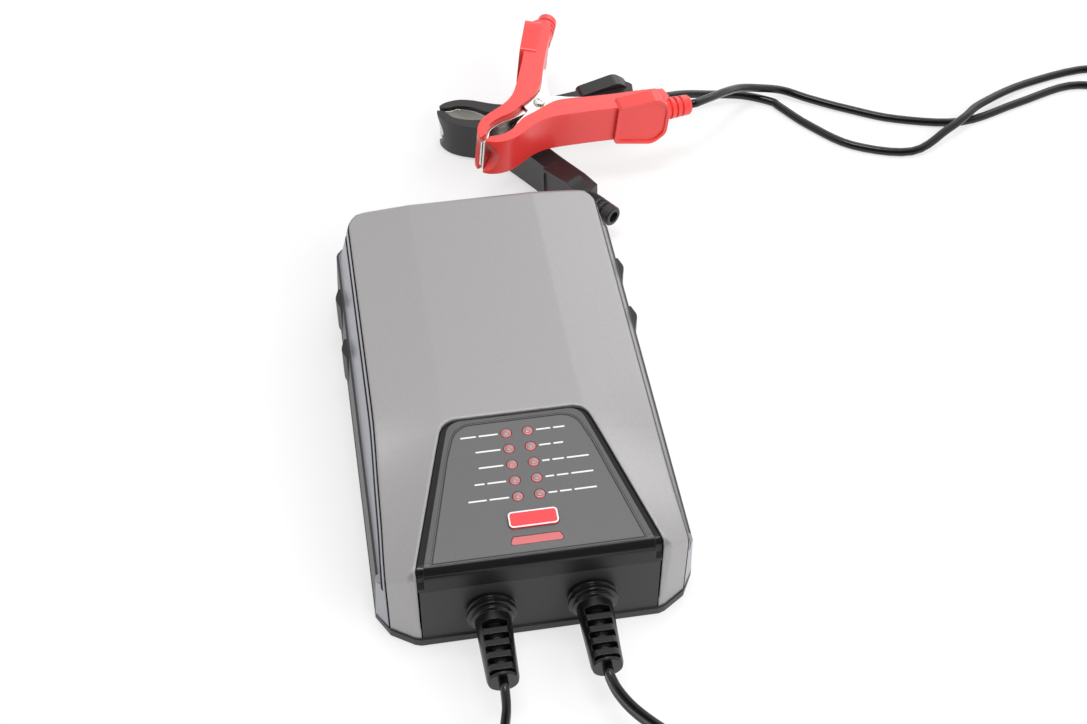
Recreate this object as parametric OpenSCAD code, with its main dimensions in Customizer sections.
// Smart battery charger for cars and motorcycles: a two-tone housing with a
// sloping indicator panel, its mains cord and plug, and a pair of battery clamps.
// Millimetres, Z up. The origin is the centre of the housing's footprint, on the
// surface that it lies on; the front wall, where the cords leave, faces -Y.

/* [Housing] */
// Width across the foot of the side walls
body_w = 110; // [92:1:132]
// Length from the front wall to the back wall
body_l = 170; // [150:1:204]
// Height of the top cover above the surface
body_h = 43.4; // [38:0.2:52]
// Wall thickness of the mouldings
wall = 2; // [1.6:0.1:2.4]
// Radius of the upright corners at the back
corner_r = 12; // [8:0.5:15]
// Height of the trim strips, from their foot up to the level of the cover
trim_h = 17.4; // [15:0.2:19]
// How far the side walls lean in between the plinth and the trim
side_draft = 1.6; // [1:0.1:2]
// Width of the sloping ledge under the trim strips
ledge = 1.2; // [0.8:0.1:1.5]
// Radius of the cover's back corners
edge_r = 8; // [6:0.5:9]
// Width of the seam between two mouldings
seam = 0.4; // [0.3:0.05:0.6]
// Height of the plinth under the front corners
plinth_h = 3.8; // [3.2:0.1:4.4]
// How far the plinth stands out at the front and at the back
plinth_lip = 0.6; // [0.3:0.1:1]
// Height that the rubber feet hold the floor of the housing above the surface
foot_gap = 0.6; // [0.4:0.1:1.2]

/* [Front] */
// Width of the grey corner on each side of the black front
wing_w = 14.7; // [13:0.1:16]
// Radius of the rounded edge between the sloping panel and the front
nose_r = 4.2; // [3:0.1:5]
// Height of the panel's front skirt, from its top down to the front wall
skirt_h = 9.9; // [9:0.1:11]
// Angle that the grey front corners are turned back
wing_a = 33.5; // [30:0.5:36]
// Radius of the rounded edge on top of the grey front corners
wing_r = 4; // [2:0.5:5]

/* [Sloping panel] */
// Length of the part of the top that slopes down to the front
slope_run = 60; // [58:1:72]
// Angle of that slope
slope_a = 3.9; // [3:0.1:5]
// Width of the channel round the panel
channel_w = 1.9; // [1.4:0.1:2.4]
// Depth of the channel
channel_d = 1.2; // [0.8:0.1:1.3]
// Thickness of the control label
label_t = 0.3; // [0.2:0.05:0.5]
// Number of indicator rows, with two indicators in each
led_rows = 5; // [3:1:5]
// Pitch of the rows
led_pitch = 6.5; // [6:0.1:6.8]
// Distance between the two columns
led_gap = 7.4; // [6:0.1:9]
// Diameter of an indicator lens
lens_d = 3.5; // [3:0.1:4]
// Length of the mode button across the panel
key_l = 16.6; // [12:0.1:18]
// Width of the mode button along the slope
key_w = 6.2; // [5:0.1:6.6]
// Travel of the mode button
key_travel = 0.5; // [0.3:0.05:0.6]
// Length of the power window along its near edge, which is the longer one
power_l = 18; // [12:0.1:19]
// Width of the power window
power_w = 2.9; // [2:0.1:3]

/* [Strain reliefs] */
// Distance between the two cord outlets
outlet_gap = 34; // [30:1:36]
// Height of the outlets above the surface
outlet_z = 17.4; // [16.4:0.1:18]
// Diameter of a strain relief where it leaves the wall
boot_root_d = 12.4; // [11:0.1:13]
// Diameter of a strain relief at its tip
boot_tip_d = 10.6; // [9.5:0.1:11]
// Length of a strain relief from the wall to its tip
boot_l = 29; // [27:0.1:31]
// Number of slots along the strain relief, on top and underneath
boot_slots = 4; // [3:1:5]

/* [Electronics] */
// Thickness of the circuit boards
board_t = 1.6; // [1:0.1:2]
// Height of the main board's underside above the surface
board_z = 8; // [6:0.2:9]
// Free strip between the side walls and the main board
board_margin = 15; // [14.5:0.5:16]
// Depth of the indicator board's upper face under the panel
display_drop = 9; // [8.6:0.1:10]
// Diameter of the mains reservoir capacitor
bulk_d = 18; // [14:0.5:18]
// Height of the mains reservoir capacitor
bulk_h = 22; // [18:1:24]
// Width of the transformer core
core_w = 25; // [20:0.5:26]
// Height of the transformer
core_h = 21; // [16:0.5:23]

/* [Clamps] */
// Distance from the rivet to the tips of the jaws
jaw_l = 35; // [32:0.5:38]
// Height of a clamp's levers, along the rivet
lever_h = 17; // [15:0.5:18]
// Width of the thumb pads, along the rivet
pad_w = 23.6; // [20:0.2:23.8]
// Thickness of the sheet steel inside the clamps
steel_t = 0.8; // [0.6:0.1:1]
// Diameter of the rivet
rivet_d = 3.2; // [3:0.1:4]
// Radial clearance of the moving lever on its rivet
rivet_play = 0.05; // [0.03:0.01:0.1]

/* [Cords] */
// Width of the flat twin cords
twin_w = 6; // [5:0.1:6.4]
// Thickness of the flat twin cords
twin_t = 3; // [2.6:0.1:3.2]
// Diameter of the leads to the clamps
lead_d = 3.6; // [3.2:0.1:4]
// Turns in the mains cord's coil, half of them in each layer
mains_turns = 8; // [2:2:10]
// Turns in the output cord's coil, half of them in each layer
output_turns = 4; // [2:2:6]

/* [Hidden] */
$fn = 48;
eps = 0.02;

// ---- Places that follow from the driving sizes ----
front_y = -body_l / 2;
back_y = body_l / 2;
front_hw = body_w / 2 - wing_w;             // half width of the black front
side_h = body_h - trim_h;                   // top of the black side walls
floor_z = foot_gap + wall;                  // inner face of the housing's floor
slope_y = front_y + slope_run;              // where the slope starts
nose_h = body_h - (slope_run - nose_r) * tan(slope_a); // top of the rounded edge
skirt_z = nose_h - skirt_h;                 // top of the front wall
front_lean = 1;                             // the front wall leans back this much
fit = 0.2;                                  // clearance of a piece let into another
touch = 0.05;                               // gap between faces that rest on each other

// Along the sides the distances are counted from the front wall.
// Drop of the groove below the cover's level, and its distance from the side.
BENDS = [6, slope_run / 4, slope_run - 35, slope_run - 25, slope_run - 15, slope_run - 5, slope_run + 5, slope_run + 15];
DROPS = [11.4, 10, 8.8, 7.6, 6, 3.8, 2.2, 1.9];
INSETS = [4.4, 4.8, 5.4, 5.8, 6.2, 6.7, 7.1, 7.2];
// A smooth line through chosen points, with k steps between two of them.
function spline(p, k = 4) = let (m = len(p)) concat(
    [for (i = [0 : m - 2], j = [0 : k - 1])
        let (t = j / k, a = p[max(0, i - 1)], b = p[i], c = p[i + 1], d = p[min(m - 1, i + 2)])
        0.5 * ((2 * b) + (c - a) * t + (2 * a - 5 * b + 4 * c - d) * t * t + (3 * b - a - 3 * c + d) * t * t * t)],
    [p[m - 1]]);
function sorted(v) = len(v) < 2 ? v : let (p = v[0])
    concat(sorted([for (x = v) if (x < p - 0.3) x]), [p], sorted([for (x = v) if (x > p + 0.3) x]));
GROOVE = spline([for (i = [0 : 7]) [BENDS[i], DROPS[i], INSETS[i]]], 2);
GROOVE_DROP = [for (g = GROOVE) [g.x, g.y]];
GROOVE_IN = [for (g = GROOVE) [g.x, g.z]];
// Crease on top: where the middle of the top ends, from the black front's half width.
bend_d = slope_run - 10.8;                   // the panel's sides start to round in here
CREASE_OUT = [[0, 2], [3, 1.1], [bend_d, -12.1], [slope_run - 3, -15.3], [slope_run + 15, -16.3]];
STATIONS = sorted(concat([slope_run, slope_run + 15, bend_d, -2, 3, slope_run - 3], [for (g = GROOVE) g.x],
    [body_l - 1.6, body_l - 0.5, body_l + 2]));

function groove_x(d) = body_w / 2 - lookup(d, GROOVE_IN);
function groove_z(d) = body_h - lookup(d, GROOVE_DROP);
function crease_x(d) = front_hw + lookup(d, CREASE_OUT);
function top_z(d) = body_h - max(0, slope_run - d) * tan(slope_a);
// The top rounds over at the back edge.
function back_round(d) = d > body_l - 0.4 ? 1.5 : d > body_l - 1 ? 0.5 : 0;

// ---- Drawing helpers ----
function unit(v) = v / norm(v);
// Corner p of an outline, between its neighbours a and b, rounded to radius r.
function fillet(a, p, b, r, n = 6) = r <= 0 ? [p] :
    let (u = unit(a - p), v = unit(b - p), h = acos(u * v) / 2,
         c = p + unit(u + v) * r / sin(h), s = p + u * r / tan(h), e = p + v * r / tan(h))
    [for (i = [0 : n]) c + unit((s - c) * (1 - i / n) + (e - c) * i / n) * r];
function rounded(pts, rs, n = 6) = let (m = len(pts))
    [for (i = [0 : m - 1]) each fillet(pts[(i + m - 1) % m], pts[i], pts[(i + 1) % m], rs[i], n)];
// A half outline, listed from front to back on the right, closed on the left.
function both_sides(half) = concat(half, [for (i = [len(half) - 1 : -1 : 0]) [-half[i].x, half[i].y]]);
function box2(w, l) = [[w / 2, -l / 2], [w / 2, l / 2], [-w / 2, l / 2], [-w / 2, -l / 2]];
// A cord's line: its first and last lengths are straight, the rest is smooth.
function route(p, k = 2) = concat([p[0]], spline([for (i = [1 : len(p) - 2]) p[i]], k), [p[len(p) - 1]]);
// The same line moved sideways by w, to its left.
function beside(p, w) = [for (i = [0 : len(p) - 1])
    let (t = unit(p[min(i + 1, len(p) - 1)] - p[max(i - 1, 0)])) p[i] + w * [-t.y, t.x]];
function reversed(p) = [for (i = [len(p) - 1 : -1 : 0]) p[i]];
function path_length(p, i = 0) = i >= len(p) - 1 ? 0 : norm(p[i + 1] - p[i]) + path_length(p, i + 1);

module slab(pts, z0, z1) translate([0, 0, z0]) linear_extrude(z1 - z0) polygon(pts);
// A solid between parallel outlines, each a list of 3-D points of one length.
module skin(rings) {
    n = len(rings[0]);
    m = len(rings);
    polyhedron(
        points = [for (r = rings) each r],
        faces = concat(
            [[for (i = [0 : n - 1]) i]],
            [for (k = [0 : m - 2], i = [0 : n - 1]) each [
                [k * n + i, (k + 1) * n + i, (k + 1) * n + (i + 1) % n],
                [k * n + i, (k + 1) * n + (i + 1) % n, k * n + (i + 1) % n]]],
            [[for (i = [n - 1 : -1 : 0]) (m - 1) * n + i]]),
        convexity = 8);
}
// A cord swept along points, w across and h upright, with flats under and on top.
module cord(p, w, h, sides = 8) {
    m = len(p);
    skin([for (i = [0 : m - 1])
        let (t = unit(p[min(i + 1, m - 1)] - p[max(i - 1, 0)]),
             n = unit([t.y, -t.x, 0]), u = cross(n, t))
        [for (k = [0 : sides - 1]) let (a = -(k + 0.5) * 360 / sides - 90)
            p[i] + n * w / 2 * cos(a) + u * h / 2 * sin(a)]]);
}

// ---- The housing's outer form, or that form drawn in by t ----
wing_y = front_y + 0.7 + (body_w / 2 - front_hw - 7) * tan(wing_a);   // outer end of the turned-back corner
function outline(t = 0, lip = 0) = both_sides(rounded([
    [0, front_y + t - lip], [front_hw + 0.5, front_y + t - lip], [front_hw + 2.6 - t * 0.2, front_y + 0.7 + t - lip],
    [body_w / 2 - 4.4 - t * 0.7, wing_y + t * 0.75 - lip], [body_w / 2 - t, front_y + 13.2 + t * 0.5],
    [body_w / 2 - t, back_y - t + lip], [0, back_y - t + lip]],
    [0, 0, 0, 0, 0, corner_r - t, 0], 10));

function section(d, t) = let (y = front_y + d, z = top_z(d) - back_round(d) - t,
    gx = groove_x(d) - t * 0.6, gz = min(z - 0.2, groove_z(d) - t - back_round(d)), cx = min(crease_x(d), gx - 1.5),
    hs = body_w / 2 - t, s = side_h - t * 0.3,
    half = [[hs, foot_gap + t], [hs - side_draft, s - 0.5], [hs - side_draft - ledge, s + 0.5], [gx, gz],
        [(2 * gx + cx) / 3, (2 * gz + z) / 3], [(gx + 2 * cx) / 3, (gz + 2 * z) / 3], [cx, z]])
    concat([for (p = half) [-p.x, y, p.y]], [for (i = [len(half) - 1 : -1 : 0]) [half[i].x, y, half[i].y]]);

// What lies outside the back corners. They follow the sides' lean, so they are tighter on top.
function corner_ring(z, x, y, r) = [for (p = concat([[x + 9, y - r]], [for (a = [0 : 10 : 90]) [x - r + r * cos(a), y - r + r * sin(a)]],
    [[x - r, y + 9], [x + 9, y + 9]])) [p.x, p.y, z]];
module outside_corners(t) for (s = [-1, 1]) scale([s, 1, 1]) {
    x = body_w / 2 - t;
    g = groove_x(body_l - 10) - t * 0.6 + 0.03;
    top = groove_z(body_l - 10) - t;
    skin([corner_ring(body_h + 5, g, back_y - t + 0.03, edge_r - t * 0.6), corner_ring(top, g, back_y - t + 0.03, edge_r - t * 0.6),
        corner_ring(side_h + 0.5 - t * 0.3, x - side_draft - ledge + 0.03, back_y - t + 0.03, corner_r - 1.5 - t),
        corner_ring(side_h - 0.5 - t * 0.3, x + 1, back_y - t + 1, corner_r - t + 1)]);
}

// Half spaces that round the edge between the top and the turned-back front corners
module outside_noses() {
    n1 = [sin(wing_a), -cos(wing_a), 0];
    q = [crease_x(0), front_y, top_z(0)];
    n2 = unit(cross([groove_x(6), front_y, groove_z(6)] - q, [0, 1, tan(slope_a)]));
    e = [front_hw + 2.6, front_y + 0.7, 0];
    p = [e.x, e.y, q.z - (n2.x * (e.x - q.x) + n2.y * (e.y - q.y)) / n2.z];
    c = p - wing_r * (n1 + n2) / (1 + n1 * n2);
    h = acos(n1 * n2);
    for (s = [-1, 1], f = [0.25, 0.5, 0.75]) scale([s, 1, 1]) {
        m = unit(n1 * sin((1 - f) * h) + n2 * sin(f * h));
        translate(c + m * wing_r) rotate([0, acos(m.z), atan2(m.y, m.x)]) translate([-20, -20, 0]) cube([40, 40, 20]);
    }
}

// Everything behind the leaning front, with its rounded top edge.
module front_bound(t) {
    z = nose_h - t;
    r = max(0.8, nose_r - t);
    rotate([90, 0, 90]) linear_extrude(4 * body_w, center = true) polygon(concat(
        [[t, -5], [t, plinth_h], [t + front_lean, skirt_z]],
        [for (i = [0 : 8]) [t + front_lean + r - r * cos(i * 11.25), z - r + r * sin(i * 11.25)]],
        [[t + slope_run * 0.5, body_h * 2], [3 * body_l, body_h * 2], [3 * body_l, -5]]));
}

module form(t = 0) difference() {
    intersection() {
        skin([for (d = STATIONS) section(d, t)]);
        slab(outline(t), -1, body_h + 5);
        translate([0, front_y, 0]) front_bound(t);
    }
    outside_corners(t);
    if (t == 0) outside_noses();
}

// ---- Zones of the mouldings ----
// Line along a groove at the distance off outside it, and round the back corner by an angle
trim_end = 50;
edge_c = [groove_x(body_l - 10) - edge_r, back_y - edge_r];
function along_groove(off, turn) = concat([for (d = STATIONS) if (d < slope_run + 16) [groove_x(d) + off, front_y + d]],
    [for (a = [0 : 10 : turn]) edge_c + (edge_r + off) * [cos(a), sin(a)]]);
// The trim ends part of the way round the corner.
function groove_line(off) = let (u = [cos(trim_end), sin(trim_end)], v = [-u.y, u.x])
    concat(along_groove(off, trim_end - 10), [edge_c + (edge_r + off) * u - off * v, edge_c + (edge_r + 9) * u - off * v]);
module between_grooves(off) slab(both_sides(groove_line(off)), -1, body_h + 5);

function fascia_half(g) = [
    [front_hw - g, front_y - 5], [front_hw + 0.6 - g, front_y + 3], [front_hw - 12.1 - g, front_y + bend_d],
    [front_hw - 15.4 - g, slope_y + 0.6 - g], [0, slope_y + 0.6 - g]];
function fascia_outline(g) = both_sides(rounded(fascia_half(g), [0, 0, 20, 6.5 - g, 0]));
function plateau_outline(g) = let (c = channel_w) both_sides(rounded([
    [front_hw - g - c * 0.9, front_y - 5], [front_hw - c * 1.1 - g, front_y + 3],
    [front_hw - 12.1 - c - g, front_y + bend_d - 2], [front_hw - 15.6 - c - g, slope_y - 0.6 - g],
    [0, slope_y - 0.6 - g]], [0, 0, 20, 5.5 - g, 0]));

// Zone of the corner facet that the trim wraps round.
module trim_corner(g = 0) for (s = [-1, 1]) scale([s, 1, 1])
    slab([[body_w / 2 - 4.4 + g, front_y + 3], [body_w / 2 + 3, front_y + 3], [body_w / 2 + 3, front_y + 13.2 - g],
        [body_w / 2 - wall - 0.6, front_y + 13.2 - g], [body_w / 2 - 4.4 - wall + 0.4 + g, front_y + 9.6]], plinth_h + touch, side_h + 8);
// Zone of the grey front corners.
module wings() for (s = [-1, 1]) scale([s, 1, 1])
    translate([front_hw + seam / 2, front_y - 4, plinth_h + touch])
        cube([wing_w, 13.5, body_h]);

boss_x = body_w / 2 - 12.5;
boss_y = body_l / 2 - 24;
boss_d = 7;
screw_d = 3;
boss_split = side_h - 2;
module at_bosses() for (x = [-1, 1], y = [-1, 1]) translate([x * boss_x, y * boss_y, 0]) children();

// Places of the main board's fixings
board_w = body_w - 2 * board_margin - 2 * wall;
board_l = body_l - 30;
board_top = board_z + board_t;
module at_board_posts() for (x = [-1, 1], y = [-1, 1])
    translate([x * (board_w / 2 - 4), y * (board_l / 2 - 4), 0]) children();

foot_d = 10;
foot_in = 16;
module at_feet() for (x = [-1, 1], y = [-1, 1])
    translate([x * (body_w / 2 - foot_in), y * (body_l / 2 - foot_in + 6), 0]) children();

boot_grip = wall + 2.6;                     // the strain reliefs' inner flange starts here
module at_outlets() for (x = [-1, 1]) translate([x * outlet_gap / 2, front_y, outlet_z]) children();

// ---- Housing ----
// Pairs of upright ribs on the side walls, with a slot between them for a strap
EAR = [[0, 0.4], [1.2, 3.6], [1.4, 5], [1.2, 6.4], [0, 10]];
module ears() for (s = [-1, 1], k = [0, 1]) scale([s, 1, 1])
    translate([body_w / 2 - 1.3, body_l / 2 - 33 - 26 * k, 0])
        slab(concat([[-0.8, 0]], [for (p = EAR) [p.x + 0.6, p.y]], [[-0.8, 10]]), plinth_h + 6, side_h - 1.5);

module base_shell() color([0.13, 0.13, 0.14]) difference() {
    union() {
        difference() {
            union() {
                intersection() {
                    form();
                    union() {
                        translate([-body_w, -body_l, -1]) cube([2 * body_w, 2 * body_l, side_h + 1]);
                        translate([-front_hw + seam / 2, front_y - 3, 0])
                            cube([2 * front_hw - seam, wall + 3, skirt_z - touch]);
                    }
                }
                // plinth that stands out at both ends
                slab(outline(0, plinth_lip), foot_gap, plinth_h);
            }
            form(wall);
            trim_corner(-seam / 2);
            wings();
            // clearance behind the grey corners
            for (s = [-1, 1]) scale([s, 1, 1]) translate([front_hw - seam / 2, front_y - 4, plinth_h])
                cube([wing_w - 5.6, 13, body_h]);
        }
        ears();
        intersection() {
            union() {
                at_bosses() translate([0, 0, foot_gap]) cylinder(d = boss_d, h = boss_split - foot_gap);
                at_board_posts() translate([0, 0, foot_gap]) cylinder(d = 6, h = board_z - touch - foot_gap);
            }
            form(0.3);
        }
        // stiffening collar inside each outlet
        at_outlets() translate([0, wall - 0.5, 0]) rotate([-90, 0, 0])
            cylinder(d = boot_root_d + 5, h = boot_grip - wall + 0.5 - touch);
    }
    at_outlets() rotate([-90, 0, 0]) translate([0, 0, -2]) cylinder(d = boot_root_d + 2 * touch, h = wall + 6);
    at_bosses() {
        translate([0, 0, -1]) cylinder(d = screw_d + 0.4, h = side_h);
        translate([0, 0, -1]) cylinder(d = 6.2, h = foot_gap + 1 + 3);
    }
    at_board_posts() translate([0, 0, floor_z]) cylinder(d = 2, h = board_z);
    at_feet() translate([0, 0, -1]) cylinder(d = foot_d + 2 * touch, h = 1 + foot_gap + 1);
}

module top_cover() color([0.62, 0.61, 0.61]) difference() {
    union() {
        difference() {
            intersection() {
                form();
                between_grooves(-seam / 2);
                union() {
                    translate([-body_w, front_y + 9, side_h + touch]) cube([2 * body_w, body_l, body_h]);
                    wings();
                    translate([-body_w, front_y - 1, skirt_z + 4]) cube([2 * body_w, 14, body_h]);
                }
            }
            form(wall);
            slab(fascia_outline(0), skirt_z - 20, body_h + 5);
        }
        // screw bosses, standing on those of the base
        intersection() {
            form(wall / 2);
            at_bosses() translate([0, 0, boss_split + touch]) cylinder(d = boss_d, h = body_h);
            between_grooves(-seam);
        }
    }
    at_bosses() translate([0, 0, boss_split - 1]) cylinder(d = screw_d - 0.4, h = 9);
}

// One trim strip: it leans in to the groove, with a fine bead along its upper edge,
// and turns down round the front corner.
module trim(s) difference() {
    intersection() {
        form();
        scale([s, 1, 1]) translate([0, front_y - 5, 0]) cube([body_w, body_l + 10, body_h]);
        union() {
            translate([-body_w, front_y + 9, side_h + touch]) cube([2 * body_w, body_l, body_h]);
            trim_corner(seam / 4);
        }
    }
    form(wall);
    between_grooves(seam / 2);
    // hairline behind the bead
    difference() {
        scale([s, 1, 1]) slab(concat(along_groove(1, 30), reversed(along_groove(1.45, 30))), side_h - 2, body_h);
        form(0.5);
    }
}
module side_trim_left() color([0.52, 0.53, 0.56]) trim(-1);
module side_trim_right() color([0.52, 0.53, 0.56]) trim(1);

// ---- Sloping panel: everything below is drawn on the slope, from where it starts ----
module on_panel() translate([0, slope_y, body_h]) rotate([slope_a, 0, 0]) children();
row_v = -7.9;                                   // first row of indicators
key_v = row_v - (led_rows - 1) * led_pitch - 9.3;
power_v = key_v - 7.7;
display_w = min(56, 2 * front_hw - 20);
display_v = [-slope_run + 6.5, -9.5 + 6];       // front and back edge of the board
post_in = 3.4;
module at_leds() for (i = [0 : led_rows - 1], x = [-1, 1])
    translate([x * led_gap / 2, row_v - i * led_pitch, 0]) children();
module at_display_posts() for (x = [-1, 1], v = [display_v[0] + post_in, display_v[1] - 14])
    translate([x * (v < -30 ? display_w / 2 - post_in : min(16, display_w / 2 - post_in)), v, 0]) children();

function label_half(g) = [
    [0, -slope_run + 3.8 + g], [front_hw - 4.5 - g, -slope_run + 3.8 + g],
    [front_hw - 15 - g, -15 - g * 0.5], [front_hw - 19.4 - g, -2.3 - g], [0, -2.3 - g]];
function label_outline(g) = both_sides(rounded(label_half(g), [0, 0.6, 30, 8, 0]));
function power_shape(g) = let (n = power_l / 2 + g, f = power_l * 0.43 + g, h = power_w / 2 + g) [[n, -h], [f, h], [-f, h], [-n, -h]];
module panel_windows(g) {
    at_leds() cylinder(d = lens_d + 2 * g, h = 30, center = true);
    translate([0, key_v, 0]) slab(rounded(box2(key_l + 2 * g, key_w + 2 * g), [1.7, 1.7, 1.7, 1.7]), -10, 10);
    translate([0, power_v, 0]) slab(rounded(power_shape(g), [0.8, 0.8, 0.8, 0.8]), -10, 10);
}

module front_fascia() color([0.2, 0.2, 0.21]) difference() {
    union() {
        difference() {
            intersection() {
                form();
                slab(fascia_outline(seam / 2), skirt_z, body_h + 5);
                union() {
                    translate([-body_w, front_y - 1, skirt_z]) cube([2 * body_w, body_l, body_h]);
                }
            }
            form(wall);
            // channel round the raised part
            difference() {
                slab(fascia_outline(-1), skirt_z + 1, body_h + 6);
                slab(plateau_outline(0), skirt_z - 1, body_h + 7);
                form(channel_d);
                // it runs out on the front
                translate([0, front_y, skirt_z]) rotate([90, 0, 90]) linear_extrude(body_w, center = true)
                    polygon([[-6, -3], [-6, 1.5], [front_lean, 1.5], [front_lean + channel_d + 1.2, 6], [30, 6], [30, -3]]);
            }
        }
        // posts for the indicator board
        on_panel() at_display_posts() translate([0, 0, -display_drop + touch])
            cylinder(d = 5, h = display_drop - wall / 2);
    }
    on_panel() {
        slab(label_outline(-0.15), -label_t, 5);
        panel_windows(0.2);
        at_display_posts() translate([0, 0, -display_drop - 1]) cylinder(d = 1.8, h = 6);
    }
}

module control_label() color([0.27, 0.27, 0.28]) on_panel() difference() {
    slab(label_outline(0), -label_t + eps, -eps);
    panel_windows(0.2);
}

// Lens: a clear rod with a domed head that stands just proud of the label
module led_lenses() color([0.85, 0.32, 0.34]) on_panel() at_leds()
    rotate_extrude($fn = 32) polygon(concat([[0, -4.2], [lens_d / 2 + 0.6, -4.2], [lens_d / 2 + 0.6, -wall - 0.35],
        [lens_d / 2, -wall - 0.35], [lens_d / 2, -0.05]],
        [for (a = [15 : 15 : 75]) [lens_d / 2 * cos(a), -0.05 + 0.3 * sin(a)]], [[0, 0.25]]));

module power_window() color([0.8, 0.25, 0.27]) on_panel() translate([0, power_v, 0]) {
    slab(rounded(power_shape(0), [0.7, 0.7, 0.7, 0.7]), -wall - 0.5, -0.05);
    slab(box2(power_l + 1.6, power_w + 1.2), -4, -wall - 0.45);
}

// Key cap with a hidden flange that keeps it behind the panel, and the stem under it
key_top = 0.65;
switch_top = -display_drop + 3.4;
module mode_button() color([0.88, 0.2, 0.2]) on_panel() translate([0, key_v, 0]) {
    slab(rounded(box2(key_l, key_w), [1.5, 1.5, 1.5, 1.5]), -wall - 0.6, key_top);
    slab(box2(key_l + 1.8, key_w + 1.4), -wall - 1.2, -wall - 0.25);
    translate([0, 0, -wall - 2.6]) cylinder(d = 4, h = 2);
}
module key_plunger() color([0.85, 0.85, 0.83]) on_panel() translate([0, key_v, 0])
    translate([0, 0, switch_top + touch - 2.2]) cylinder(d = 3, h = -wall - 2.6 - switch_top + 2.2 - 2 * touch);
module key_switch() color([0.2, 0.2, 0.2]) on_panel() translate([0, key_v, 0]) difference() {
    slab(box2(6, 6), -display_drop + touch, switch_top);
    translate([0, 0, -display_drop + 0.4]) cylinder(d = 3 + 2 * touch, h = 5);
}
// Small round lamps, one under each lens, and a pair under the power window
module status_leds() color([0.8, 0.78, 0.75]) on_panel() {
    at_leds() lamp();
    for (x = [-5, 5]) translate([x, power_v, 0]) lamp();
}
module lamp() translate([0, 0, -display_drop + touch]) {
    cylinder(d = 3.4, h = 0.9, $fn = 32);
    cylinder(d = 2.9, h = display_drop - 4.2 - 0.35, $fn = 32);
}
module display_board() color([0.1, 0.35, 0.2]) on_panel() difference() {
    slab([[-display_w / 2, display_v[0]], [display_w / 2, display_v[0]], [display_w / 2, -26],
        [min(20, display_w / 2), display_v[1] - 9], [-min(20, display_w / 2), display_v[1] - 9], [-display_w / 2, -26]],
        -display_drop - board_t, -display_drop);
    at_display_posts() translate([0, 0, -display_drop - 5]) cylinder(d = 2.4, h = 10);
}
module display_screws() color([0.75, 0.75, 0.73]) on_panel() at_display_posts()
    translate([0, 0, -display_drop - board_t - touch]) {
        translate([0, 0, -1.4]) cylinder(d = 4.4, h = 1.4);
        cylinder(d = 1.7, h = board_t + 5);
    }

// ---- Main board and what it carries ----
left_x = -board_w / 2;                        // mains side
right_x = board_w / 2;                        // battery side
module on_board(x, y) translate([x, y, board_top + touch]) children();

module main_board() color([0.12, 0.38, 0.22]) difference() {
    slab(rounded(box2(board_w, board_l), [2, 2, 2, 2]), board_z, board_top);
    at_board_posts() translate([0, 0, board_z - 1]) cylinder(d = 2.6, h = board_t + 2);
}
module board_screws() color([0.75, 0.75, 0.73]) at_board_posts() {
    translate([0, 0, board_top + touch]) cylinder(d = 5, h = 1.6);
    translate([0, 0, floor_z + 0.6]) cylinder(d = 1.9, h = board_top - floor_z);
}
block_y = front_y + 22;
module terminal_blocks() color([0.15, 0.4, 0.2]) for (s = [-1, 1])
    on_board(s * outlet_gap / 2, block_y) difference() {
        translate([-6, -4, 0]) cube([12, 8, outlet_z - board_top + 2]);
        for (x = [-2.2, 2.2]) translate([x, -5, outlet_z - board_top - touch]) rotate([-90, 0, 0]) cylinder(d = 2.3, h = 5);
    }
// Two cores of each cord, from the strain relief to the terminals
module inner_leads() color([0.3, 0.3, 0.32]) for (s = [-1, 1], x = [-2.2, 2.2])
    translate([s * outlet_gap / 2 + x, front_y + boot_grip + 1.6 + touch, outlet_z]) rotate([-90, 0, 0])
        cylinder(d = 2.1, h = block_y - 2 - (front_y + boot_grip + 1.6), $fn = 24);
module fuse() color([0.85, 0.85, 0.8]) on_board(left_x + 9, front_y + 34) {
    for (y = [-9, 9]) translate([-3, y - 1.5, 0]) cube([6, 3, 3.5]);
    translate([0, -10, 5]) rotate([-90, 0, 0]) cylinder(d = 5, h = 20, $fn = 32);
}
module film_capacitor() color([0.85, 0.7, 0.2]) on_board(left_x + 10, front_y + 54)
    translate([-8, -4, 0]) cube([16, 8, 10]);
module filter_choke() color([0.55, 0.3, 0.15]) on_board(left_x + 11, front_y + 76) {
    translate([0, 0, 9]) rotate([0, 90, 0]) rotate_extrude() translate([6, 0]) polygon(rounded(box2(5, 7), [1, 1, 1, 1], 3));
    translate([-5, -7, 0]) cube([10, 14, 1.6]);
}
module bridge_rectifier() color([0.15, 0.15, 0.16]) on_board(left_x + 11, front_y + 93)
    translate([-7.5, -1.8, 0]) cube([15, 3.6, 13]);
module bulk_capacitor() color([0.12, 0.16, 0.3]) on_board(left_x + bulk_d / 2 + 2, front_y + 109) difference() {
    cylinder(d = bulk_d, h = bulk_h);
    translate([0, 0, 2.6]) rotate_extrude() translate([bulk_d / 2 + 0.2, 0]) circle(d = 1.4, $fn = 16);
}
trafo = [4, front_y + 92];
module transformer_core() color([0.2, 0.2, 0.22]) on_board(trafo.x, trafo.y) difference() {
    translate([-core_w / 2, -4, 1.4]) cube([core_w, 8, core_h - 1.4]);
    for (s = [-1, 1]) translate([s * core_w / 4 - core_w / 9, -5, 5]) cube([core_w * 2 / 9, 10, core_h - 8.6]);
}
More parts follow.
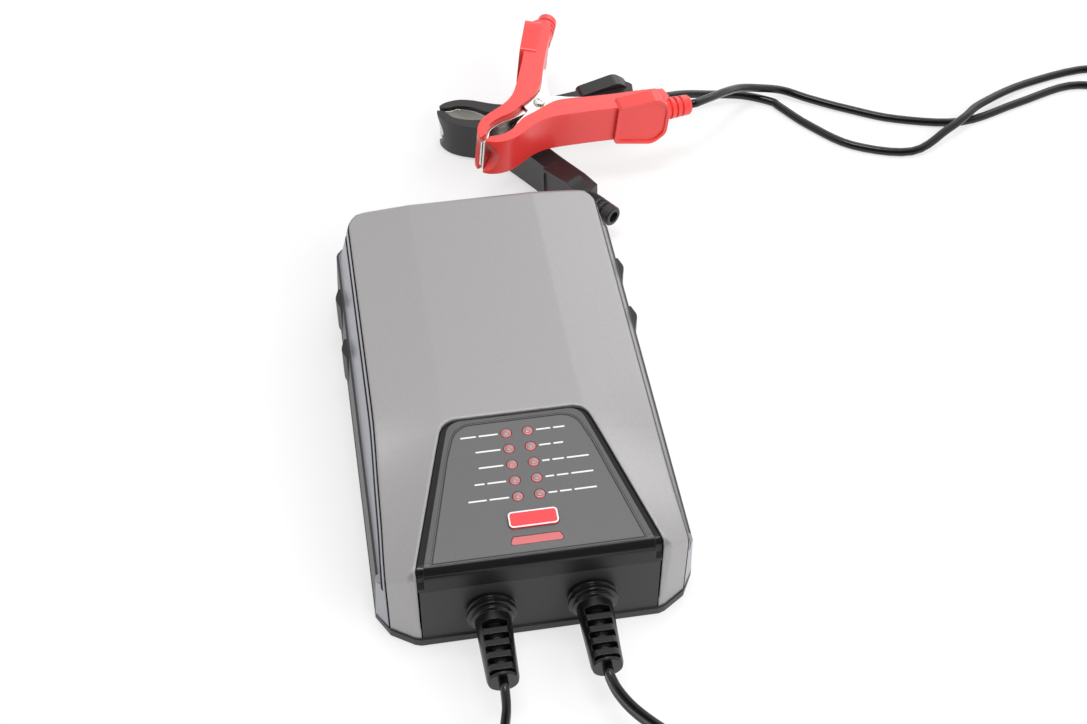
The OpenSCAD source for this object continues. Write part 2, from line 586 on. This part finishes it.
module transformer_winding() color([0.8, 0.65, 0.25]) on_board(trafo.x, trafo.y) difference() {
    union() {
        translate([-core_w / 2 + 3.7, -9, 5.2]) cube([core_w - 7.4, 18, core_h - 9]);
        translate([-core_w / 2, -10, 0]) cube([core_w, 20, 1.3]);
        for (s = [-1, 1]) translate([-2, s * 8 - 1, 0]) cube([4, 2, 6]);
    }
    // room for the core's outer legs and middle leg
    translate([-core_w / 2 - 1, -4 - touch, 1.35]) cube([core_w / 4 - core_w / 9 + 1 + touch, 8 + 2 * touch, core_h]);
    translate([core_w / 4 + core_w / 9 - touch, -4 - touch, 1.35]) cube([core_w, 8 + 2 * touch, core_h]);
    translate([-core_w / 4 + core_w / 9 - touch, -4 - touch, 1.35])
        cube([core_w / 2 - core_w * 2 / 9 + 2 * touch, 8 + 2 * touch, core_h]);
}
sink_y = front_y + 100;
sink_l = 52;
module heatsink() color([0.75, 0.76, 0.78]) on_board(right_x - 4, sink_y) {
    translate([-1, -sink_l / 2, 0]) cube([2, sink_l, 20]);
    for (i = [0 : 6]) translate([0.5, -sink_l / 2 + i * (sink_l - 1.2) / 6, 0]) cube([4, 1.2, 20]);
}
module power_transistors() color([0.16, 0.16, 0.17]) for (y = [-16, 0, 16]) on_board(right_x - 5 - touch, sink_y + y) {
    translate([-4.5, -5, 3]) cube([4.5, 10, 9]);
    translate([-1.3, -5, 12]) cube([1.3, 10, 6.5]);
    for (k = [-1, 0, 1]) translate([-2.6, k * 2.54 - 0.4, 0]) cube([0.6, 0.8, 3.1]);
}
module output_capacitors() color([0.13, 0.13, 0.18]) for (i = [0 : 2])
    on_board(right_x - 8, front_y + 36 + 12 * i) difference() {
        cylinder(d = 10, h = 11);
        translate([0, 0, 1.6]) rotate_extrude() translate([5.2, 0]) circle(d = 1, $fn = 16);
    }
// Pin header that joins the two boards
header_at = [8, front_y + 40];
module board_header() color([0.15, 0.15, 0.15]) {
    h = body_h - (slope_y - header_at.y) * tan(slope_a) - (display_drop + board_t) / cos(slope_a) - board_top;
    on_board(header_at.x, header_at.y) {
        translate([-7, -1.3, 0]) cube([14, 2.6, 2.5]);
        for (k = [-2 : 2]) translate([k * 2.54 - 0.32, -0.32, 2]) cube([0.64, 0.64, h - 2.45]);
    }
}

module case_screws() color([0.7, 0.7, 0.7]) at_bosses() {
    translate([0, 0, foot_gap + 3 - 2.4 - touch]) difference() {
        cylinder(d = 5.8, h = 2.4);
        for (a = [0, 90]) rotate([0, 0, a]) translate([-1.6, -0.4, -1]) cube([3.2, 0.8, 2.2]);
    }
    translate([0, 0, foot_gap + 3 - touch - eps]) cylinder(d = screw_d - 0.5, h = side_h);
}
module rubber_feet() color([0.1, 0.1, 0.1]) at_feet()
    rotate_extrude() polygon([[0, 0], [foot_d / 2 - 0.5, 0], [foot_d / 2, 0.5], [foot_d / 2, foot_gap + 1 - touch], [0, foot_gap + 1 - touch]]);

// ---- Strain relief: a moulded boot with a stepped flange, cut by rows of slots ----
slot_start = 8.6;
slot_pitch = (boot_l - slot_start - 2.2) / boot_slots;
slot_w = slot_pitch * 0.49;
boot_core = 6.6;
module boot() {
    rotate([90, 0, 0]) difference() {
        rotate_extrude() polygon([
            [0, -boot_grip - 1.6], [boot_root_d / 2 + 2, -boot_grip - 1.6], [boot_root_d / 2 + 2, -boot_grip], [boot_root_d / 2, -boot_grip],
            [boot_root_d / 2, touch], [boot_root_d / 2 + 2, touch], [boot_root_d / 2 + 2, 1.2], [boot_root_d / 2 + 1.7, 1.5],
            [boot_root_d / 2 + 1.5, 1.6], [boot_root_d / 2 + 1.5, 2.2], [boot_root_d / 2 + 2.2, 2.3], [boot_root_d / 2 + 2.2, 3.6],
            [boot_root_d / 2 + 1.9, 3.9], [boot_root_d / 2 + 0.9, 4], [boot_root_d / 2 + 0.9, 4.8], [boot_root_d / 2 + 0.6, 5.2],
            [boot_root_d / 2, 5.4], [boot_tip_d / 2 + 0.1, boot_l - 1.2], [boot_tip_d / 2 - 0.3, boot_l], [0, boot_l]]);
        for (s = [-1, 1]) scale([1, s, 1]) {
            // flat land, and the slots between its ribs
            translate([-boot_core * 0.64, boot_tip_d / 2 - 0.75, slot_start]) cube([boot_core * 1.28, 5, boot_l - slot_start - 1.3]);
            difference() {
                for (i = [0 : boot_slots]) translate([-boot_core * 0.64, 1.2, slot_start + i * slot_pitch])
                    cube([boot_core * 1.28, 8, i == boot_slots ? 1.3 : slot_w]);
                translate([0, 0, -1]) cylinder(d = boot_core, h = boot_l + 2);
            }
        }
    }
}
module mains_boot() color([0.15, 0.15, 0.15]) translate([-outlet_gap / 2, front_y, outlet_z]) boot();
module output_boot() color([0.15, 0.15, 0.15]) translate([outlet_gap / 2, front_y, outlet_z]) boot();

// ---- Cords: routes through chosen points, in round numbers ----
function turn_z(v, a) = [v.x * cos(a) - v.y * sin(a), v.x * sin(a) + v.y * cos(a), v.z];
con_p = [293, back_y - 9, 5];                 // cord end of the connector, and its direction
con_a = 71;
cord_z = twin_w / 2 - 0.1;                    // flat cord standing on edge on the surface
lead_z = lead_d / 2;
tip_y = front_y - boot_l - touch;             // where the cords leave the strain reliefs
mains_c = [-49, front_y - 105];               // centre of the mains coil
mains_r = 40;
output_c = [128, front_y - 121];
output_r = 35;
coil_pitch = twin_t + 0.9;
coil_rise = twin_w + 0.7;
// Points given from the front wall or from the back wall
function from_front(p) = [for (q = p) q + [0, front_y, 0]];
function from_back(p) = [for (q = p) q + [0, back_y, 0]];

MAINS_RUN = concat([[-outlet_gap / 2, tip_y, outlet_z], [-outlet_gap / 2, tip_y - 3, outlet_z]],
    from_front([[-17.4, -37.5, 15], [-19, -43.5, 11.2], [-20.6, -52, 6.6], [-17.6, -65, 3.4], [-11.5, -80, cord_z],
        [-9, -91, cord_z], [-9, -99 + touch, cord_z]]));
OUTPUT_RUN = concat([[outlet_gap / 2, tip_y, outlet_z], [outlet_gap / 2, tip_y - 3, outlet_z]],
    from_front([[18.8, -37, 15.6], [23, -42.5, 12.6], [30, -48.3, 9], [40, -55.6, 5.6], [56, -67, 3.3], [76, -79, cord_z],
        [98, -85, cord_z], [114, -86, cord_z], [122 - touch, -86, cord_z]]));
// From the output coil back to the pair of leads
SUPPLY_RUN = concat(from_front([[152 + touch, -85.6, 8.4], [158, -85.6, 8.4], [170, -81, 6], [184, -71, 3.4], [204, -47, cord_z],
        [226, -9, cord_z], [246, 35, cord_z]]), [[264, 0, cord_z]],
    from_back([[280, -43, 3.4], [288, -24, 4.4]]), [con_p - turn_z([7, 0, 0], con_a), con_p]);

// A spiral in on the surface and out again on top, turning clockwise from angle a0.
function coil(c, r0, turns, a0) = let (steps = turns * 24) [for (i = [0 : steps])
    let (u = i / 24, half = turns / 2, climb = 0.5,
         k = half - abs(u - half) + 0.5 * max(0, 1 - abs(u - half)),
         up = min(1, max(0, (u - half + climb / 2) / climb)),
         r = r0 - coil_pitch * k, a = a0 - 360 * u)
    [c.x + r * cos(a), c.y + r * sin(a), cord_z + coil_rise * (3 * up * up - 2 * up * up * up)]];
MAINS_COIL = concat(from_front([[-9, -99, cord_z]]), coil(mains_c, mains_r, mains_turns, 0), [for (a = [15 : 15 : 90])
    let (r = mains_r + coil_pitch * a / 360) [mains_c.x + r * cos(-a), mains_c.y + r * sin(-a), cord_z + coil_rise]],
    from_front([[-58, -146, 9.6], [-66, -145.6, 9.2], [-73, -144.6, 7.6], [-78, -144, 6.9], [-84, -144, 6.9]]));
OUTPUT_COIL = concat(from_front([[122, -86, cord_z]]), coil(output_c, output_r, output_turns, 90),
    from_front([[138, -85.8, cord_z + coil_rise], [145, -85.6, 8.4], [152, -85.6, 8.4]]));

// Least distance between turns of a coil, counted between points half a turn apart or more
function self_gap(p) = min([for (i = [0 : len(p) - 1], j = [i + 12 : 1 : len(p) - 1])
    let (d = p[i] - p[j]) max(norm([d.x, d.y]) - twin_t, abs(d.z) - twin_w)]);
echo(mains_coil_gap = self_gap(MAINS_COIL), output_coil_gap = self_gap(OUTPUT_COIL));
echo(mains_mm = path_length(route(MAINS_RUN)) + path_length(MAINS_COIL),
    output_mm = path_length(route(OUTPUT_RUN)) + path_length(OUTPUT_COIL) + path_length(route(SUPPLY_RUN)));

module mains_cord() color([0.15, 0.15, 0.15]) cord(route(MAINS_RUN), twin_t, twin_w);
module mains_coil() color([0.15, 0.15, 0.15]) cord(MAINS_COIL, twin_t, twin_w, 6);
module output_cord() color([0.15, 0.15, 0.15]) cord(route(OUTPUT_RUN), twin_t, twin_w);
module output_coil() color([0.15, 0.15, 0.15]) cord(OUTPUT_COIL, twin_t, twin_w, 6);
module supply_cord() color([0.15, 0.15, 0.15]) cord(route(SUPPLY_RUN), twin_t, twin_w);

// ---- Flat two-pin mains plug, lying on its side of the coil ----
plug_w = 35.3;
plug_t = 13.7;
plug_l = 37;
module on_plug() translate([-84.05, front_y - 144, plug_t / 2 + 0.05]) rotate([0, 0, 180]) children();
module plug_body() color([0.14, 0.14, 0.14]) on_plug() {
    intersection() {
        translate([0, 0, -plug_t / 2]) linear_extrude(plug_t) polygon(rounded([[10, -4.5], [22, -12], [plug_l, -plug_w / 2],
            [plug_l, plug_w / 2], [22, 12], [10, 4.5]], [2, 8, 1.5, 1.5, 8, 2]));
        rotate([90, 0, 0]) linear_extrude(60, center = true) polygon(rounded([[9, -4.5], [24, -5.4], [31, -plug_t / 2],
            [plug_l, -plug_t / 2], [plug_l, plug_t / 2], [31, plug_t / 2], [24, 5.4], [9, 4.5]], [0, 6, 4, 0.8, 0.8, 4, 6, 0]));
    }
    // its strain relief
    rotate([0, 90, 0]) rotate_extrude() polygon([[0, 0], [3.6, 0], [3.9, 0.5], [3.9, 2], [3.3, 2.3], [3.3, 3.4], [4.1, 3.7],
        [4.1, 5.4], [3.5, 5.7], [3.5, 6.8], [4.3, 7.1], [4.3, 11], [0, 11]]);
}
// Each pin has a bare tip and a narrower insulated shank.
pin_d = 4;
sleeve_d = 3.6;
sleeve_l = 10;
module at_pins() on_plug() for (s = [-1, 1]) translate([plug_l + touch, s * 9.1, 0]) rotate([0, 90, 0]) children();
module plug_pins() color([0.8, 0.78, 0.7]) at_pins() rotate_extrude($fn = 32)
    polygon([[0, 0], [sleeve_d / 2 - 0.5, 0], [sleeve_d / 2 - 0.5, sleeve_l + touch], [pin_d / 2, sleeve_l + touch],
        [pin_d / 2, 17.6], [pin_d / 2 - 0.8, 19], [0, 19]]);
module pin_sleeves() color([0.14, 0.14, 0.14]) at_pins() rotate_extrude($fn = 32)
    polygon([[sleeve_d / 2 - 0.5 + touch, 0], [sleeve_d / 2, 0], [sleeve_d / 2, sleeve_l], [sleeve_d / 2 - 0.5 + touch, sleeve_l]]);

// ---- Two-pole connector between the supply cord and the clamp leads ----
module on_connector() translate(con_p) rotate([0, 0, con_a]) children();
module connector_half(l) {
    translate([0, 0, -4.4]) linear_extrude(8.8) polygon(rounded([[7, -4], [10, -6.4], [l, -6.4], [l, 6.4], [10, 6.4], [7, 4]],
        [1, 3, 0.8, 0.8, 3, 1]));
    translate([0.1, 0, 0]) rotate([0, 90, 0]) rotate_extrude() polygon([[0, 0], [3.4, 0], [3.7, 2], [3.1, 2.2], [3.1, 3.2], [3.8, 3.4],
        [3.9, 5.2], [3.3, 5.4], [3.3, 6.2], [4, 6.4], [4, 9], [0, 9]]);
}
module connector_plug() color([0.14, 0.14, 0.14]) on_connector() connector_half(24);
module connector_socket() color([0.14, 0.14, 0.14]) on_connector() translate([48.1, 0, 0]) rotate([0, 0, 180])
    union() {
        connector_half(24);
        translate([0.1, -3.2, -3.3]) cube([9, 6.4, 6.6]);
    }

// ---- Battery clamp: two levers on a rivet, held shut by a spring ----
// Drawn with the rivet along Z at the origin and the jaws along +X. Each lever keeps
// to its own side; this is the one at +Y, the other is its mirror image.
// Inner face of the steel, from the jaw's tip to the end of the handle
INNER = [[jaw_l - 0.3, 0.25], [jaw_l - 3.4, 0.3], [jaw_l - 5.6, 1.5], [jaw_l - 8.5, 3.1], [21, 3.3], [15.5, 2.1], [11.5, 1.9],
    [7, 2.5], [0.5, 3], [-5, 4], [-10, 6.6], [-17, 11.6], [-25, 17], [-32, 21.4], [-37.5, 24.8]];
// Back of the plastic sleeve, from the handle to the tip
BACK = concat([[-43.5, 30.6]], spline([[-41.8, 35.4], [-38, 36.8], [-33, 34.4], [-28, 31.2], [-14, 21.7], [-5, 16], [3, 11.2], [9, 9.1],
    [15, 8.6], [jaw_l - 13, 8.8], [jaw_l - 7.5, 8], [jaw_l - 3.5, 6], [jaw_l - 1, 3.7], [jaw_l, 1.6]], 2));
inner_line = spline(INNER, 3);
sleeve_line = beside(inner_line, -steel_t - touch);
liner_n = 34;                                  // the steel ends here, inside the handle
stub_a = 152;                                  // direction in which the lead leaves
stub_p = [-40.5, 32.8];
stub_l = 13.6;
stub_d = 9.4;
lever_end = [stub_p.x + stub_l * cos(stub_a), stub_p.y + stub_l * sin(stub_a), 0];
pocket_r = 8.3;
ear_r = 7;
fixed_flange = lever_h / 2 - 1.4;              // outer face of the fixed lever's steel sides
moving_flange = fixed_flange - steel_t - 0.3;  // the moving lever's steel lies inside

module lever(side) scale([1, side, 1]) {
    difference() {
        union() {
            translate([0, 0, -lever_h / 2]) linear_extrude(lever_h) polygon(concat(sleeve_line, BACK));
            thumb_pad();
        }
        // recess for the rivet's plates
        cylinder(r = pocket_r, h = 2 * (fixed_flange + 0.2), center = true);
        // recessed face of the thumb pad
        pad_place() translate([0, 0, 5.3]) linear_extrude(3) polygon(pad_outline(1.4));
        // hollow at the tip that shows the steel
        translate([jaw_l + 5.4, 0, 0]) rotate([90, 0, 0]) cylinder(r = 9.2, h = 30, center = true);
    }
    ribbed_stub(side);
}
// The pad widens towards the end of the handle.
function pad_outline(g = 0) = let (b = pad_w / 2 - g) rounded([[-15 + g, -b * 0.78], [2.5, -b], [8 - g, -b * 0.6], [8 - g, b * 0.6],
    [2.5, b], [-15 + g, b * 0.78]], [2, 5, 5, 5, 5, 2], 5);
// Frame on the back of the handle, Z outwards
module pad_place() translate([-34.5, 30.4, 0]) rotate([90, 0, 146.3]) children();
module thumb_pad() pad_place() translate([0, 0, -1]) linear_extrude(7) polygon(pad_outline());
module ribbed_stub(side) translate([stub_p.x, stub_p.y, 0]) rotate([0, 0, stub_a]) rotate([0, 90, 0]) rotate_extrude($fn = 32)
    polygon(concat([[0, -3], [stub_d / 2, -3]], [for (k = [0 : 2], q = [[0, 3.2], [-0.8, 3.4], [-0.8, 4.1], [0, 4.3]])
        [stub_d / 2 - 0.15 * k + q.x, q.y + 2.7 * k]], [[stub_d / 2 - 0.5, stub_l - 0.6], [stub_d / 2 - 1, stub_l], [0, stub_l]]));
// The lever with no lead has an open end: a blind hole where the lead would enter.
module open_end(side) scale([1, side, 1]) translate([stub_p.x, stub_p.y, 0]) rotate([0, 0, stub_a]) rotate([0, 90, 0])
    translate([0, 0, stub_l - 8]) cylinder(d = lead_d + 1.2, h = 9);

// Steel of one lever: a strip along the jaw and handle, with a side plate at each edge
module steel(side, flange, bore) scale([1, side, 1]) difference() {
    union() {
        difference() {
            translate([0, 0, -flange]) linear_extrude(2 * flange)
                polygon(concat([for (i = [0 : liner_n]) inner_line[i]], [for (i = [liner_n : -1 : 0]) beside(inner_line, -steel_t)[i]]));
            cylinder(r = pocket_r - 0.5, h = 4 * flange, center = true);
        }
        for (z = [-flange, flange - steel_t]) translate([0, 0, z]) linear_extrude(steel_t) {
            circle(r = ear_r);
            polygon([[0, -2], [9, 0.4], [16.5, 1.95], [16.5, 2.7], [12, 2.5], [7, 3.2], [0, 6], [-6, 4.9], [-10, 7.2],
                [-17.3, 12.6], [-17.8, 11.6], [-12, 6], [-7, 0]]);
        }
    }
    cylinder(d = bore, h = 4 * flange, center = true, $fn = 64);
}
module rivet() {
    cylinder(d = rivet_d, h = 2 * fixed_flange + 0.4, center = true, $fn = 64);
    for (s = [-1, 1]) scale([1, 1, s]) translate([0, 0, fixed_flange + touch])
        rotate_extrude($fn = 32) polygon([[0, 0], [2.4, 0], [2.4, 0.4], [2, 0.9], [1.1, 1], [0.9, 0.6], [0, 0.6]]);
}
// Torsion spring round the rivet, one leg along each handle
spring_wire = 1.1;
spring_r = 3.1;
spring_pitch = 1.7;
spring_steps = 27;                             // eight to a curl
// From the handle at -Y round the rivet to the one at +Y
function spring_path() = let (z = spring_pitch * spring_steps / 16, a = 292.5) concat(
    [[-14.2, -8, -z], [-13.2, -7.3, -z], [-7, -3.2, -z]],
    [for (i = [0 : spring_steps]) [spring_r * cos(a + 45 * i), spring_r * sin(a + 45 * i), -z + spring_pitch * i / 8]],
    [[-7, 3.2, z], [-13.2, 7.3, z], [-14.2, 8, z]]);
module spring() {
    p = spring_path();
    m = len(p);
    skin([for (i = [0 : m - 1])
        let (t = unit(p[min(i + 1, m - 1)] - p[max(i - 1, 0)]), n = unit(cross([0, 0, 1], t)), u = cross(t, n))
        [for (k = [0 : 5]) p[i] + spring_wire / 2 * (n * cos(-60 * k) + u * sin(-60 * k))]]);
}

// Where the two clamps lie: turned by the angle, tipped by the tilt, moved to the place
red_p = [35.7, back_y + 55.6, 32.7];
red_turn = 220.2;
red_tilt = [0, 4.8, 0];
black_p = [29.2, back_y + 69.6, 10.6];
black_turn = 154.8;
black_tip = 2.4;
module on_red() translate(red_p) rotate(red_tilt) rotate([0, 0, red_turn]) children();
module on_black() translate(black_p) rotate([0, 0, black_turn]) rotate([0, black_tip, 0]) children();
function turn_y(v, a) = [v.x * cos(a) + v.z * sin(a), v.y, -v.x * sin(a) + v.z * cos(a)];
function stub_point(side, s) = [lever_end.x + s * cos(stub_a), side * (lever_end.y + s * sin(stub_a)), 0];
function red_end(s) = red_p + turn_y(turn_z(stub_point(1, s + touch), red_turn), red_tilt.y);
function black_end(s) = black_p + turn_z(turn_y(stub_point(-1, s + touch), black_tip), black_turn);

// ---- Leads to the clamps ----
// Their ends: at the connector and at the handles of the clamps
con_end = con_p + turn_z([48.2, 0, 0], con_a);
RED_LEAD = concat([con_end + turn_z([touch, 1.95, 0], con_a), con_end + turn_z([3.6, 1.95, 0], con_a)],
    from_back([[308, 55, 3.4], [301, 69, 2], [282, 75, lead_z + 0.05], [254, 67, lead_z], [226, 59, lead_z], [198, 65, lead_z], [178, 75, 2],
    [163, 83.6, 2.6], [152, 89, 4.4], [139, 87.3, 8.8], [129.5, 82, 14.2], [121, 73.6, 20.2], [114.5, 67.6, 23.6], [109, 63.2, 25.9]]),
    [red_end(3.6), red_end(0)]);
BLACK_LEAD = concat([con_end + turn_z([touch, -1.95, 0], con_a), con_end + turn_z([3.6, -1.95, 0], con_a)],
    from_back([[314, 55, 3.4], [313, 73, 2], [296, 85, lead_z + 0.1], [262, 79, lead_z + 0.35], [236, 65, 5.6], [226, 57, 6.4], [216, 51, 5.2],
    [198, 43, lead_z + 0.35], [174, 51, lead_z + 0.05], [158.5, 67, lead_z], [149, 81, lead_z + 0.1], [146, 85, lead_z + 0.2], [134, 90, 3], [118, 89, 6.4], [106, 86.6, 10]]),
    [black_end(3.6), black_end(0)]);
echo(red_lead_mm = path_length(route(RED_LEAD)), black_lead_mm = path_length(route(BLACK_LEAD)));
module red_lead() color([0.15, 0.15, 0.15]) cord(route(RED_LEAD), lead_d, lead_d);
module black_lead() color([0.15, 0.15, 0.15]) cord(route(BLACK_LEAD), lead_d, lead_d);

module red_fixed_lever() color([0.85, 0.12, 0.12]) on_red() lever(1);
module red_moving_lever() color([0.85, 0.12, 0.12]) on_red() difference() { lever(-1); open_end(-1); }
module red_fixed_steel() color([0.78, 0.78, 0.76]) on_red() steel(1, fixed_flange, rivet_d);
module red_moving_steel() color([0.78, 0.78, 0.76]) on_red() steel(-1, moving_flange, rivet_d + 2 * rivet_play);
module red_rivet() color([0.7, 0.7, 0.68]) on_red() rivet();
module red_spring() color([0.6, 0.6, 0.6]) on_red() spring();
module black_fixed_lever() color([0.16, 0.16, 0.17]) on_black() lever(-1);
module black_moving_lever() color([0.16, 0.16, 0.17]) on_black() difference() { lever(1); open_end(1); }
module black_fixed_steel() color([0.78, 0.78, 0.76]) on_black() steel(-1, fixed_flange, rivet_d);
module black_moving_steel() color([0.78, 0.78, 0.76]) on_black() steel(1, moving_flange, rivet_d + 2 * rivet_play);
module black_rivet() color([0.7, 0.7, 0.68]) on_black() rivet();
module black_spring() color([0.6, 0.6, 0.6]) on_black() scale([1, -1, 1]) spring();

base_shell();
top_cover();
side_trim_left();
side_trim_right();
front_fascia();
control_label();
led_lenses();
power_window();
mode_button();
key_plunger();
key_switch();
status_leds();
display_board();
display_screws();
main_board();
terminal_blocks();
fuse();
film_capacitor();
filter_choke();
bridge_rectifier();
bulk_capacitor();
transformer_core();
transformer_winding();
heatsink();
power_transistors();
output_capacitors();
board_header();
board_screws();
case_screws();
rubber_feet();
inner_leads();
mains_boot();
output_boot();
mains_cord();
mains_coil();
plug_body();
plug_pins();
pin_sleeves();
output_cord();
output_coil();
supply_cord();
connector_plug();
connector_socket();
red_lead();
black_lead();
red_fixed_lever();
red_moving_lever();
red_fixed_steel();
red_moving_steel();
red_rivet();
red_spring();
black_fixed_lever();
black_moving_lever();
black_fixed_steel();
black_moving_steel();
black_rivet();
black_spring();
